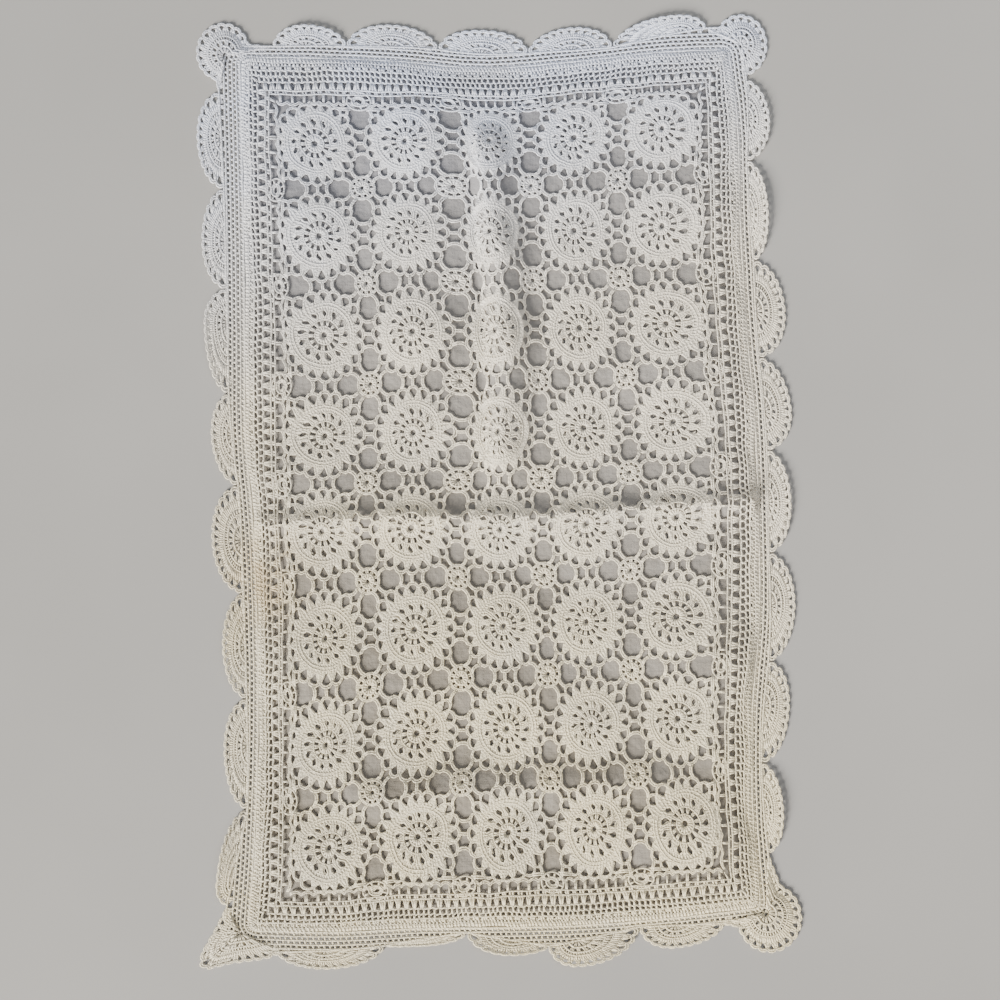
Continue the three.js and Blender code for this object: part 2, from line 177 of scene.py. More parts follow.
def roundCorners(u, v):
    radius = case["cornerRadius"]
    nearU = np.clip(u, radius, caseWidth - radius)
    nearV = np.clip(v, radius, caseLength - radius)
    du, dv = u - nearU, v - nearV
    reach = np.maximum(np.hypot(du, dv), 1e-9)
    scale = np.where(reach > 1e-6, np.maximum(abs(du), abs(dv)) / reach, 1)
    return nearU + du * scale, nearV + dv * scale


def pinched(u, v):
    # mm that the stitches of the steep ridge are drawn in towards its middle
    away = u - pinch["middle"]
    size = np.where(away < 0, pinch["left"], -pinch["right"])
    share = np.sin(turn / 4 * np.minimum(abs(away) / pinch["peak"], 1)) ** 2
    share = share * (1 - smooth(pinch["peak"], pinch["outside"], abs(away)))
    share = share * smooth(pinch["from"], pinch["full"], v) * (1 - smooth(pinch["fades"], pinch["to"], v))
    return size * share


def flatPlace(u, v):
    # mm in the plane: a patch between the four seams, with the drift of the wheels
    u, v = roundCorners(np.asarray(u, float), np.asarray(v, float))
    s, t = u / caseWidth, v / caseLength
    places = []
    for axis in "XY":
        leftSeam, rightSeam = (sideSeams[side + axis] for side in ("left", "right"))
        left, right = (curveThrough(rowLines, seam, v) for seam in (leftSeam, rightSeam))
        bottom, top = (curveThrough(columnLines, endSeams[end + axis], u) for end in ("bottom", "top"))
        near, far = ((1 - s) * leftSeam[row] + s * rightSeam[row] for row in (0, -1))
        drifts = [curveThrough(rowLines, wheelDrift[part + axis], v) for part in ("first", "middle", "last")]
        drift = curveThrough(driftLines, [0, *drifts, 0], u)
        if axis == "X":
            drift = drift + pinched(u, v)
        sides = (1 - s) * left + s * right
        ends = (1 - t) * bottom + t * top
        places.append(sides + ends - (1 - t) * near - t * far + drift)
    return places


def someWaves(count, lengths, heights):
    # waves: length in stitch units, heading, phase, and size in mm
    return [
        (random.uniform(*lengths), random.uniform(0, turn), random.uniform(0, turn), random.uniform(*heights))
        for _ in range(count)
    ]


# The slack cloth's own soft swells
swells = someWaves(7, (75, 190), (0.3, 0.6))


def swayAt(u, v, length, heading, phase):
    return np.sin(turn * (u * math.cos(heading) + v * math.sin(heading)) / length + phase)


def seamDistance(u, v):
    return np.minimum(np.minimum(u, caseWidth - u), np.minimum(v, caseLength - v))


def foldHeight(u, v):
    # mm that the face stands above the way it would lie if pressed flat
    fromSeam = seamDistance(u, v)
    folds = 0
    for (startU, startV), (endU, endV), height, left, right, crest in creases:
        length = math.hypot(endU - startU, endV - startV)
        runU, runV = (endU - startU) / length, (endV - startV) / length
        along = (u - startU) * runU + (v - startV) * runV
        across = runU * (v - startV) - runV * (u - startU)
        spread = np.where(across > 0, left, right)
        beyond = np.maximum(np.maximum(-along, along - length), 0)
        bell = lambda x: 0.5 + 0.5 * np.cos(math.pi * np.minimum(x, 1))
        fade = bell(beyond / case["creaseFade"])
        folds = folds + height * bell(abs(across / spread) ** crest) * fade
    for *wave, height in swells:
        folds = folds + height * swayAt(u, v, *wave)
    slack = case["swell"] * smooth(0, case["swellReach"], fromSeam)
    thinning = case["thinning"] * (1 - smooth(0, case["thinningReach"], fromSeam))
    return np.maximum(slack + folds * np.clip(fromSeam / case["cornerRadius"], 0, 1), 0) - thinning


def besideSeam(side, along, distance):
    # u and v of the stitch so far along a side and so far in from its seam
    along, distance = np.broadcast_arrays(along, distance)
    depth = {"top": caseLength - distance, "right": caseWidth - distance}.get(side, distance)
    return (along, depth) if side in ("bottom", "top") else (depth, along)


# mm, points along each seam, in the order of rising u or v
seams = {
    side: flatPlace(*besideSeam(side, np.linspace(0, 1, 400) * length, 0))
    for side, length in sideLengths.items()
}

# The frame's origin is the middle of the whole outline: how far the tables are from it
backLow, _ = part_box("case_back")
shiftX = backLow.x / mm - min(seams["left"][0].min(), seams["top"][0].min())
shiftY = backLow.y / mm - seams["bottom"][1].min()


def inFrame(x, y, z):
    x, y, z = np.broadcast_arrays(x, y, z)
    return np.stack([(x + shiftX) * mm, (y + shiftY) * mm, z * mm], axis=-1)


def rolled(distance):
    # how far a stitch at this distance from its seam rolls, in stitch units
    fades = smooth(case["rollEnds"], case["margin"], distance)
    return case["edgeRoll"] * smooth(0, case["rollFull"], distance) * (1 - fades)


# Slow waves that make the work as uneven as hand work is
waves = someWaves(14, (18, 95), (-0.45, 0.45))


def onFace(u, v, height):
    # where a stitch of the face lies, at a height above the underside of the crochet
    rollV = rolled(v)
    rollU = rolled(u) - rolled(caseWidth - u)
    x, y = flatPlace(u - rollU, v - rollV)
    for length, heading, phase, size in waves:
        sway = size * swayAt(u, v, length, heading, phase)
        x = x + sway * math.sin(3 * heading)
        y = y + sway * math.cos(3 * heading)
    fromSeam = seamDistance(u, v)
    drop = case["yarnBase"] - case["seamBase"] - case["thinning"]
    last = drop * (1 - smooth(*case["lastStitch"], fromSeam))
    return inFrame(x, y, case["yarnBase"] - last + foldHeight(u, v) + height)


def placed(name, data):
    thing = bpy.data.objects.new(name, data)
    bpy.context.scene.collection.objects.link(thing)
    return thing


def meshFrom(work, name, cloth):
    mesh = bpy.data.meshes.new(name)
    work.to_mesh(mesh)
    work.free()
    mesh.materials.append(cloth)
    return mesh


# degrees up from the near end, metres away, and mm to the place looked at
view = {"lens": 45, "sensor": 36, "distance": 1.2875, "elevation": 87.5, "target": (2.6, -9.8)}


def makeCamera():
    data = bpy.data.cameras.new("camera")
    data.lens, data.sensor_width = view["lens"], view["sensor"]
    camera = placed("camera", data)
    target = Vector(inFrame(*view["target"], 0))
    tilt = math.radians(view["elevation"])
    back = Vector((0, -math.cos(tilt), math.sin(tilt)))
    camera.location = target + view["distance"] * back
    camera.rotation_euler = (-back).to_track_quat("-Z", "Y").to_euler()
    bpy.context.scene.camera = camera


# name, where it stands in metres, how wide, watts, colour
lamps = [
    ("lampWindow", (-12.2, -14.4, 7.2), 7.0, 15800, (1.0, 0.965, 0.90)),
    ("lampSky", (0.2, 1.9, 1.5), 1.6, 15, (0.74, 0.86, 1.0)),
    ("lampRoom", (1.9, 0.1, 1.7), 2.0, 26, (1.0, 0.97, 0.94)),
]
roomGlow = {"Color": (0.98, 0.98, 1.0, 1), "Strength": 0.13}


def makeLights():
    for name, place, width, watts, colour in lamps:
        data = bpy.data.lights.new(name, "AREA")
        data.size, data.energy, data.color = width, watts, colour
        lamp = placed(name, data)
        lamp.location = place
        lamp.rotation_euler = (-Vector(place)).to_track_quat("-Z", "Y").to_euler()
    world = bpy.data.worlds.new("room")
    world.use_nodes = True
    for name, value in roomGlow.items():
        world.node_tree.nodes["Background"].inputs[name].default_value = value
    bpy.context.scene.world = world


makeCamera()
makeLights()
print("camera and lights are set")


def maths(operation, swapped=False):
    def run(self, other):
        first, second = (other, self) if swapped else (self, other)
        return self.finish.put("ShaderNodeMath", {"operation": operation}, {0: first, 1: second})

    return run


class Wire:
    # one output of a node, so that shader maths can be written as plain sums

    def __init__(self, finish, socket):
        self.finish = finish
        self.socket = socket

    __add__, __radd__ = maths("ADD"), maths("ADD", True)
    __sub__, __rsub__ = maths("SUBTRACT"), maths("SUBTRACT", True)
    __mul__, __rmul__ = maths("MULTIPLY"), maths("MULTIPLY", True)


class Finish:
    # one material and the nodes that make it

    def __init__(self, name):
        self.material = bpy.data.materials.new(name)
        self.material.use_nodes = True
        self.tree = self.material.node_tree
        self.shader = self.tree.nodes["Principled BSDF"]
        self.place = self.put("ShaderNodeTexCoord", out="Object")

    def put(self, kind, settings=None, sockets=None, out=0):
        node = self.tree.nodes.new(kind)
        for name, value in (settings or {}).items():
            setattr(node, name, value)
        for name, value in (sockets or {}).items():
            self.feed(node.inputs[name], value)
        return Wire(self, node.outputs[out])

    def feed(self, socket, value):
        if isinstance(value, Wire):
            self.tree.links.new(value.socket, socket)
        else:
            socket.default_value = value

    def noise(self, scale, detail=2.0, roughness=0.5):
        sockets = {"Vector": self.place, "Scale": scale, "Detail": detail, "Roughness": roughness}
        return self.put("ShaderNodeTexNoise", None, sockets, "Fac")

    def between(self, low, high, value):
        sockets = {"Value": value, "From Min": low, "From Max": high}
        return self.put("ShaderNodeMapRange", {"interpolation_type": "SMOOTHSTEP"}, sockets, "Result")

    def mix(self, share, first, second):
        sockets = {"Factor": share, 6: first, 7: second}
        return self.put("ShaderNodeMix", {"data_type": "RGBA"}, sockets, 2)

    def axis(self, name):
        return self.put("ShaderNodeSeparateXYZ", None, {0: self.place}, name)

    def bump(self, height, depth, under=None):
        sockets = {"Height": height, "Distance": depth, "Strength": 1.0}
        if under is not None:
            sockets["Normal"] = under
        return self.put("ShaderNodeBump", None, sockets, "Normal")

    def set(self, **values):
        for name, value in values.items():
            self.feed(self.shader.inputs[name.replace("_", " ")], value)


def paintedLightTones(finish, look):
    # painted light: a warm tint at the bottom end of the sham, partly the cotton's own yellowing, and a cool
    # daylight tint at its top left
    drift = 0.1 * (finish.noise(4) - 0.5)
    along, across = finish.axis("Y") + drift, finish.axis("X")
    colour = finish.mix(finish.between(-0.3, 0.2, along + 0.4 * across), look["warm"], look["plain"])
    return finish.mix(finish.between(0.12, 0.47, along - 0.3 * across), colour, look["cool"])


yarnLook = {
    # warm is partly the cotton's yellowing and partly painted warm light; cool is a painted tint of daylight
    "warm": (0.84, 0.73, 0.475, 1),
    "plain": (0.85, 0.775, 0.635, 1),
    "cool": (0.74, 0.81, 1.0, 1),
    "stain": (0.58, 0.45, 0.25, 1),
    "stainPlace": (-0.232, -0.098, 0.006),  # metres
    "stainReach": 0.08,
    "leftDarkening": (0.64, 0.60, 0.52, 1),
    # painted shade on the under sides of each strand
    "under": (0.5, 0.46, 0.4, 1),
    "between": (0.55, 0.51, 0.45, 1),  # painted shade in the hollows between its plies
    "paintedGrooveShade": 0.62,  # how light the painted shade leaves the yarn where it turns under
    "roughness": 0.55,
    "sheen": 0.2,
}


def makeYarn():
    finish = Finish("mercerisedCotton")
    colour = paintedLightTones(finish, yarnLook)
    # patchy darkening that grows towards the left side
    leftDarkening = finish.between(0.38, 0.75, finish.noise(11, 3) - 0.6 * finish.axis("X")) * 0.42
    colour = finish.mix(leftDarkening, colour, yarnLook["leftDarkening"])
    sockets = {0: finish.place, 1: yarnLook["stainPlace"]}
    away = finish.put("ShaderNodeVectorMath", {"operation": "DISTANCE"}, sockets, "Value")
    near = 1 - finish.between(0, yarnLook["stainReach"], away)
    stain = near * finish.between(0.2, 0.6, finish.noise(45)) * 0.9
    colour = finish.mix(stain, colour, yarnLook["stain"])
    # the yarn's own map runs round its section, so painted shade can darken its under sides
    ownMap = finish.put("ShaderNodeTexCoord", out="UV")
    aroundIt = finish.put("ShaderNodeSeparateXYZ", None, {0: ownMap}, "Y")
    up = 0 - finish.put("ShaderNodeMath", {"operation": "SINE"}, {0: aroundIt * turn})
    shade = yarnLook["paintedGrooveShade"] + (1 - yarnLook["paintedGrooveShade"]) * finish.between(-0.3, 0.8, up)
    colour = finish.mix(shade, yarnLook["under"], colour)
    fibres = finish.noise(1300, 1, 0.6)
    plies = finish.noise(480, 1)
    # painted shade of the hollows between plies, following the plies' noise
    colour = finish.mix(finish.between(0.35, 0.65, plies) * 0.16, colour, yarnLook["between"])
    finish.set(
        Base_Color=colour,
        Roughness=yarnLook["roughness"] + 0.12 * (fibres - 0.5),
        Normal=finish.bump(plies + 0.4 * fibres, 0.0013),
        Sheen_Weight=yarnLook["sheen"],
        Sheen_Roughness=0.5,
    )
    return finish.material


liningLook = {
    # the lining's tones are white cotton darkened with painted shade, and they carry the painted warm and
    # cool light tints too
    "warm": (0.238, 0.208, 0.162, 1),
    "plain": (0.282, 0.262, 0.238, 1),
    "cool": (0.225, 0.23, 0.266, 1),
    "worn": (0.40, 0.38, 0.36, 1),
    "threads": 1250,  # to the metre
}


def makeLiningCloth(name):
    finish = Finish(name)
    colour = paintedLightTones(finish, liningLook)
    worn = finish.between(0.3, 0.7, finish.noise(14, 2)) * 0.25
    colour = finish.mix(worn, colour, liningLook["worn"])
    sockets = {"Vector": finish.place, "Scale": liningLook["threads"] / turn, "Distortion": 2.5}
    across, along = (
        finish.put("ShaderNodeTexWave", {"bands_direction": direction}, sockets, "Fac") for direction in "XY"
    )
    weave = across * 0.5 + along * 0.5
    wrinkles = finish.bump(finish.noise(70, 2, 0.55), 0.0022)
    normal = finish.bump(weave * 0.4 + finish.noise(900, 1), 0.0002, wrinkles)
    finish.set(Base_Color=colour, Roughness=0.82 + 0.1 * (weave - 0.5), Normal=normal, Sheen_Weight=0.15)
    return finish.material


floorLook = {"dark": (0.36, 0.35, 0.335, 1), "light": (0.385, 0.375, 0.36, 1), "reach": 4}


def makeFloorFinish():
    finish = Finish("paintedFloor")
    cloud = finish.noise(3, 3)
    colour = finish.mix(finish.between(0.3, 0.7, cloud), floorLook["dark"], floorLook["light"])
    finish.set(Base_Color=colour, Roughness=0.7 + 0.1 * (cloud - 0.5))
    return finish.material


yarnCloth = makeYarn()
liningCloth = makeLiningCloth("liningCotton")
backCloth = makeLiningCloth("backCotton")


# The two plain cotton panels: how finely each is divided, and mm thick
panels = {"liningSteps": (86, 130), "backSteps": (30, 46), "thickness": 0.5}


def addPiece(work, name, cloth):
    piece = placed(name, meshFrom(work, name, cloth))
    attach(piece, "root")
    return piece


def makePanel(name, steps, cloth, level):
    # a grid with its corners at the case's corners; level gives mm at each stitch
    work = bmesh.new()
    bmesh.ops.create_grid(work, x_segments=steps[0], y_segments=steps[1], size=0.5)
    places = np.array([vertex.co for vertex in work.verts])
    inset = case["panelInset"]
    u, v = (
        inset + np.clip(places[:, axis] + 0.5, 0, 1) * (length - 2 * inset)
        for axis, length in enumerate((caseWidth, caseLength))
    )
    for vertex, place in zip(work.verts, inFrame(*flatPlace(u, v), level(u, v))):
        vertex.co = place
    bmesh.ops.recalc_face_normals(work, faces=work.faces)
    panel = addPiece(work, name, cloth)
    panel.data.shade_smooth()
    body = panel.modifiers.new("body", "SOLIDIFY")
    body.thickness = panels["thickness"] * mm
    body.offset = -1
    return panel


lining = makePanel(
    "liningPanel", panels["liningSteps"], liningCloth, lambda u, v: case["liningTop"] + foldHeight(u, v)
)
back = makePanel("backPanel", panels["backSteps"], backCloth, lambda u, v: case["backTop"] + 0 * u)
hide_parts("case_lining")
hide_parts("case_back")
print("cotton panels are made")


# Every strand has a section of one of four kinds: how many sides it has, its height for a width of 1,
# and whether its corners are shaded round
sections = {
    "yarn": (6, 0.66, True),
    "stitch": (4, 0.5, True),
    "rib": (4, 0.36, False),
    "band": (4, 0.14, False),
}


def makeSection(name):
    data = bpy.data.curves.new(name + "Section", "CURVE")
    data.dimensions = "2D"
    spline = data.splines.new("POLY")
    sides, flatness, _ = sections[name]
    spline.points.add(sides - 1)
    for i, point in enumerate(spline.points):
        angle = -turn * i / sides
        point.co = (0.5 * math.cos(angle), 0.5 * flatness * math.sin(angle), 0, 1)
    spline.use_cyclic_u = True
    return placed(name + "Section", data)


sectionHolders = {name: makeSection(name) for name in sections}


class Crochet:
    # a piece of crochet, collected strand by strand and then made one mesh

    def __init__(self, name):
        self.name = name
        self.strands = {section: [] for section in sections}

    def add(self, places, widths, section="yarn", closed=False):
        # places: strands by points by xyz in metres; widths in mm
        widths = np.broadcast_to(widths, places.shape[:2]) * chance.uniform(0.92, 1.08, places.shape[:2])
        self.strands[section].append((places, widths * mm, closed))

    def addRounds(self, rounds, place):
        # strands made by posts, ring or loops, put in place by a function of radius and angle
        for radius, angle, height, width, section, closed in rounds:
            self.add(place(radius, angle, height), width, section, closed)

    def drawn(self, section):
        curve = bpy.data.curves.new(self.name, "CURVE")
        curve.dimensions = "3D"
        curve.twist_mode = "Z_UP"
        curve.bevel_mode = "OBJECT"
        curve.bevel_object = sectionHolders[section]
        curve.use_fill_caps = True
        for places, widths, closed in self.strands[section]:
            points = np.pad(places, ((0, 0), (0, 0), (0, 1)), constant_values=1).reshape(len(places), -1)
            for point, width in zip(points, widths):
                spline = curve.splines.new("POLY")
                spline.points.add(len(width) - 1)
                spline.points.foreach_set("co", point)
                spline.points.foreach_set("radius", width)
                spline.use_cyclic_u = closed
                spline.use_smooth = sections[section][2]
        holder = placed(self.name, curve)
        mesh = bpy.data.meshes.new_from_object(holder.evaluated_get(bpy.context.evaluated_depsgraph_get()))
        bpy.data.objects.remove(holder)
        return mesh

    def make(self):
        work = bmesh.new()
        for section in sections:
            if self.strands[section]:
                work.from_mesh(self.drawn(section))
        bmesh.ops.remove_doubles(work, verts=work.verts, dist=1e-7)
        bmesh.ops.recalc_face_normals(work, faces=work.faces)
        print(self.name, "is made")
        return addPiece(work, self.name, yarnCloth)


def jitter(shape, size):
    return chance.normal(0, size, shape)


def strandsOf(radius, angle, height, width, section, closed=False):
    return (*np.broadcast_arrays(radius, angle, height, width), section, closed)


def posts(count, radii, heights, widths, sides=(0,), spacing=1, lean=0, reach=(0, turn), section="stitch"):
    # strands that run outwards; at each of count places there is one for each of sides
    radii = np.asarray(radii, float)
    step = (reach[1] - reach[0]) / count
    base = reach[0] + step * (np.arange(count) + 0.5)
    swing = lean * (radii - radii[0]) / (radii[-1] - radii[0])
    aside = np.asarray(sides)[None, :, None] * np.asarray(spacing) / radii
    angle = (base[:, None, None] + swing + aside).reshape(-1, len(radii))
    angle = angle + jitter((len(angle), 1), 0.04) * step
    heights = np.asarray(heights) + jitter((len(angle), 1), 0.05)
    return strandsOf(radii, angle, heights, widths, section)


def ring(radius, steps, height, width, section="yarn", reach=(0, turn)):
    closed = reach == (0, turn)
    angle = np.linspace(reach[0], reach[1], steps, endpoint=not closed)[None]
    return strandsOf(radius, angle, height, width, section, closed)


def loops(feet, peaks, height, width, strandGap, steps=4, reach=(0, turn)):
    # chain loops side by side, each of two strands; peaks holds the top of each loop
    closed = reach == (0, turn)
    part = np.arange(steps) / steps
    arch = np.sin(math.pi * part) ** 0.65
    radius = (feet + (np.asarray(peaks)[:, None] - feet) * arch).ravel()
    step = (reach[1] - reach[0]) / len(peaks)
    angle = (reach[0] + step * (np.arange(len(peaks))[:, None] + part)).ravel()
    if not closed:
        radius = np.append(radius, feet)
        angle = np.append(angle, reach[1])
    radius = np.stack([radius - strandGap, radius + strandGap])
    return strandsOf(radius, angle, height, width, "yarn", closed)


# The rounds of a wheel, from its centre outwards, in stitch units
wheel = {
    "hole": 2.5,
    "hub": 8.0,
    "firstRound": 13.9,
    "fanRound": 22.8,
    "ridgeRound": 25.8,
    "petalRound": 31.0,
    "petalTip": 36.8,
    "loopFoot": 36.0,
    "loopPeak": 39.0,
    "cornerPeak": 40.3,
    "spokes": 13,
    "petals": 20,
    "stitches": 56,
    "evenFrom": 29,  # wheels differ in size up to here
    "evenTo": 36,
    "crowdedFrom": 30,  # the rounds beyond this lie closer towards the border
    "crowding": 0.52,
    "tallTo": 38,  # and those up to here grow as tall as the cell
    "strand": 1.75,  # mm, a single yarn
    "strandGap": 0.82,  # between the two yarns of a chain
    "joinHeight": 1.1,
    "joinGap": 0.8,
    "joinBow": 2.2,  # how far the chains between two wheels bend
    "cornerBow": 2.0,  # the same of the chains to a rosette
    "cornerSpread": 0.15,  # radians, how far apart those land on it
    "cornerDrop": 0.985,  # how flat the wheel is where they start
    "roundness": 0.95,  # how flat the wheel lies against its taller cell
}


def wheelCentre():
    # the rounds that turn freely from wheel to wheel
    spokes, hub, first, last = (wheel[name] for name in ("spokes", "hub", "firstRound", "fanRound"))
    fan = (first, 15.9, 18.2, 20.4, last)
    return [
        ring(5.3, 14, 0.9, 6.0, "band"),
        posts(16, (wheel["hole"], hub), 1.2, (1.6, 2.5)),
        ring(hub, 22, 1.3, 1.6),
        posts(spokes, (hub, first), 0.9, (2.0, 4.2), section="band"),
        posts(spokes, (hub, first), 1.15, (1.2, 1.9), (-0.5, 0.5), (0.9, 2.0)),
        ring(first + 0.5, 32, 0.95, 2.8, "band"),
        ring(first + 0.2, 32, 1.3, 1.5),
        posts(spokes, fan, 0.9, (7.6, 8.6, 5.8, 5.8, 12.4), lean=0.1, section="band"),
        posts(spokes, fan, (1.15, 1.3, 1.45, 1.35, 1.15), (1.7, 1.8, 1.6, 1.7, 2.6), (-1.5, -0.5, 0.5, 1.5),
              (1.6, 1.85, 1.2, 1.2, 2.75), lean=0.1),
        ring(last, 40, 1.3, 1.4),
    ]


def wheelRim():
    # the rounds that meet the neighbours
    petals, stitches = wheel["petals"], wheel["stitches"]
    facing = (4, 0, 1)  # of each five loops, those that face a neighbour and not a corner
    peaks = [wheel["loopPeak"] if k % 5 in facing else wheel["cornerPeak"] for k in range(petals)]
    petal = (wheel["petalRound"] - 0.8, wheel["petalTip"])
    rows = (wheel["fanRound"], wheel["ridgeRound"], wheel["petalRound"])
    return [
        ring(27.0, 40, 0.9, 9.6, "band"),
        posts(stitches, rows[:2], 1.3, (2.5, 2.8), lean=0.04, section="rib"),
        ring(wheel["ridgeRound"], 40, 1.6, 1.3),
        posts(stitches, rows[1:], 1.3, (2.9, 3.5), lean=-0.05, section="rib"),
        ring(28.6, 40, 1.55, 1.3),
        posts(petals, petal, 1.1, (10.4, 2.0), section="band"),
        posts(petals, petal, (1.25, 1.3), (2.9, 1.4), (-1, 0, 1), (2.8, 0.4), section="rib"),
        moved(loops(wheel["loopFoot"], peaks, 1.1, wheel["strand"], wheel["strandGap"]), -turn / petals / 2),
    ]


def moved(strands, spin):
    radius, angle, *rest = strands
    return (radius, angle + spin, *rest)


def onWheel(radius, angle, size, borders):
    # from the wheel's centre; borders are the headings in which the border lies
    crowded = wheel["crowdedFrom"]
    grown = radius * (1 + (size - 1) * (1 - smooth(wheel["evenFrom"], wheel["evenTo"], radius)))
    for heading in borders:
        facing = np.maximum(np.cos(angle - heading), 0) ** 4
        closer = crowded + (grown - crowded) * (1 - wheel["crowding"] * facing)
        grown = np.where(grown > crowded, closer, grown)
    tall = wheel["roundness"] + (1 - wheel["roundness"]) * smooth(crowded, wheel["tallTo"], radius)
    return grown * np.cos(angle), grown * np.sin(angle) * tall


def headingsToBorder(column, row):
    sides = [
        (column == 0, turn / 2), (column == case["columns"] - 1, 0),
        (row == 0, -turn / 4), (row == case["rows"] - 1, turn / 4),
    ]
    return [heading for beside, heading in sides if beside]


def chainBetween(work, fromU, fromV, toU, toV, bow=0.0):
    # double chains from place to place; bow is how far their middle stands to the left
    fromU, fromV, toU, toV, bow = (np.reshape(x, (-1, 1)) for x in (fromU, fromV, toU, toV, bow))
    runU, runV = toU - fromU, toV - fromV
    length = np.hypot(runU, runV)
    part = np.linspace(0, 1, 4 if np.any(bow) else 2)
    for gap in (-wheel["joinGap"], wheel["joinGap"]):
        aside = gap + bow * np.sin(math.pi * part)
        u = fromU + runU * part - aside * (runV / length)
        v = fromV + runV * part + aside * (runU / length)
        work.add(onFace(u, v, wheel["joinHeight"]), wheel["strand"])


rosette = {"hole": 1.7, "hub": 6.6, "round": 8.0, "outer": 11.0, "roundness": 0.92}


def rosetteStrands(squashed):
    hub, outer = rosette["hub"], rosette["outer"]
    spoke = (hub, rosette["round"] + 0.8, outer)
    if squashed:
        return [
            ring(4.6, 12, 0.9, 3.4, "band"),
            ring(hub - 0.6, 14, 1.3, 1.6),
            posts(8, spoke, 1.1, (2.2, 1.9, 2.4)),
            ring(outer, 20, 1.2, 1.7),
        ]
    return [
        ring(4.6, 12, 0.9, 5.6, "band"),
        posts(12, (rosette["hole"], hub + 1.0), 1.3, (1.3, 3.0)),
        ring(hub, 14, 1.45, 1.7),
        posts(10, spoke, 0.95, (4.2, 3.1, 5.4), section="band"),
        posts(10, spoke, 1.25, (1.7, 1.6, 1.8), (-0.5, 0.5), (1.6, 1.5, 2.4)),
        ring(outer - 0.1, 20, 1.25, 1.7),
        ring(outer + 1.2, 20, 1.1, 1.7),
    ]


def addRosette(work, centreU, centreV, squeezeU=1.0, squeezeV=1.0):
    spin = random.uniform(-0.12, 0.12)

    def place(radius, angle, height):
        u = centreU + radius * np.cos(angle + spin) * squeezeU
        v = centreV + radius * np.sin(angle + spin) * squeezeV * rosette["roundness"]
        return onFace(u + jitter(u.shape, 0.1), v, height)

    work.addRounds(rosetteStrands(squeezeU != squeezeV), place)


def addWheel(work, column, row):
    centreU, centreV = (case["margin"] + cell * case["pitch"] for cell in (column, row))
    spin = random.uniform(0, turn)
    size = random.uniform(0.955, 1.035)
    borders = headingsToBorder(column, row)

    def place(radius, angle, height):
        x, y = onWheel(radius, angle, size, borders)
        return onFace(centreU + x + jitter(x.shape, 0.12), centreV + y + jitter(x.shape, 0.12), height)

    work.addRounds([moved(strands, spin) for strands in wheelCentre()] + wheelRim(), place)


def addJoins(work, column, row):
    # the chains from this wheel to its neighbours on the right and above, and the rosette between
    pitch, peak = case["pitch"], wheel["loopPeak"]
    centreU, centreV = (case["margin"] + cell * pitch for cell in (column, row))
    angles = np.array([-1, 0, 1]) * turn / wheel["petals"]
    aside, out = peak * np.sin(angles), peak * np.cos(angles)
    hasRight, hasAbove = column < case["columns"] - 1, row < case["rows"] - 1
    bows = np.array([1, 0, -1]) * wheel["joinBow"]
    if hasRight:
        chainBetween(work, centreU + out, centreV + aside, centreU + pitch - out, centreV + aside, bows)
    if hasAbove:
        chainBetween(work, centreU + aside, centreV + out, centreU + aside, centreV + pitch - out, -bows)
    if hasRight and hasAbove:
        middleU, middleV = centreU + pitch / 2, centreV + pitch / 2
        addRosette(work, middleU, middleV)
        for sideU, sideV in ((1, 1), (1, -1), (-1, -1), (-1, 1)):
            for angle, bend in ((turn / 10, 1), (turn * 3 / 20, -1)):
                fromU = pitch / 2 - wheel["cornerPeak"] * math.cos(angle)
                fromV = pitch / 2 - wheel["cornerPeak"] * math.sin(angle) * wheel["cornerDrop"]
                heading = math.atan2(fromV, fromU) + bend * wheel["cornerSpread"]
                toU = rosette["outer"] * math.cos(heading)
                toV = rosette["outer"] * math.sin(heading) * rosette["roundness"]
                chainBetween(
                    work, middleU + sideU * fromU, middleV + sideV * fromV,
                    middleU + sideU * toU, middleV + sideV * toV, bend * sideU * sideV * wheel["cornerBow"],
                )


for row in range(case["rows"]):
    work = Crochet(f"wheelRow{row + 1}")
    for column in range(case["columns"]):
        addWheel(work, column, row)
        addJoins(work, column, row)
    wheelRow = work.make()
print("wheels are made")


# The border round the wheels: how long each kind of cell is along the ends and the sides
border = {
    "endCells": {"small": 5.1, "triangle": 8.2, "rectangle": 10.3, "faint": 7.8, "dense": 3.1},
    "sideCells": {"small": 5.8, "triangle": 9.8, "rectangle": 12.8, "faint": 7.8, "dense": 3.1},
    "middleLine": 18,  # from the seam, where the cells have those lengths
    "thinChain": 32.3,
    "innerChain": 41.0,
    "rosetteLine": 38.0,
    "archGap": 0.7,
    "loopReach": 37.6,  # from a wheel's centre to its loops that face the border
    "cornerLength": 70,  # of a side, where no wheel is near
    "chainStep": 5,
}


def cellCount(length, cell):
    cells = border["endCells"] if length == caseWidth else border["sideCells"]
    return round((length - 2 * border["middleLine"]) / cells[cell])


def borderPosts(work, distances, heights, widths, cell, sides=(0,), spread=1, skip=0, shift=0,
                section="stitch"):
    # strands that run inwards from the seam; those nearer than skip to a border rosette are left out
    distances = np.asarray(distances, float)
    middle = distances.mean()
    for side, length in sideLengths.items():
        run = length - 2 * middle
        count = cellCount(length, cell)
        along = middle + (np.arange(count) + 0.5 + shift) * run / count
        lines = case["margin"] + case["pitch"] * (np.arange(case["rows"]) + 0.5)
        away = abs(along[:, None] - lines).min(axis=1)
        fromEnd = np.minimum(along, length - along)
        along = along[(away >= skip) | (fromEnd < border["cornerLength"])]
        aside = np.asarray(sides)[None, :, None] * np.asarray(spread)
        places = np.clip(along[:, None, None] + aside, distances, length - distances)
        places = places.reshape(-1, len(distances))
        places = places + jitter((len(places), 1), 0.26)
        u, v = besideSeam(side, places, distances + jitter((len(places), 1), 0.15))
        work.add(onFace(u, v, heights), widths, section)


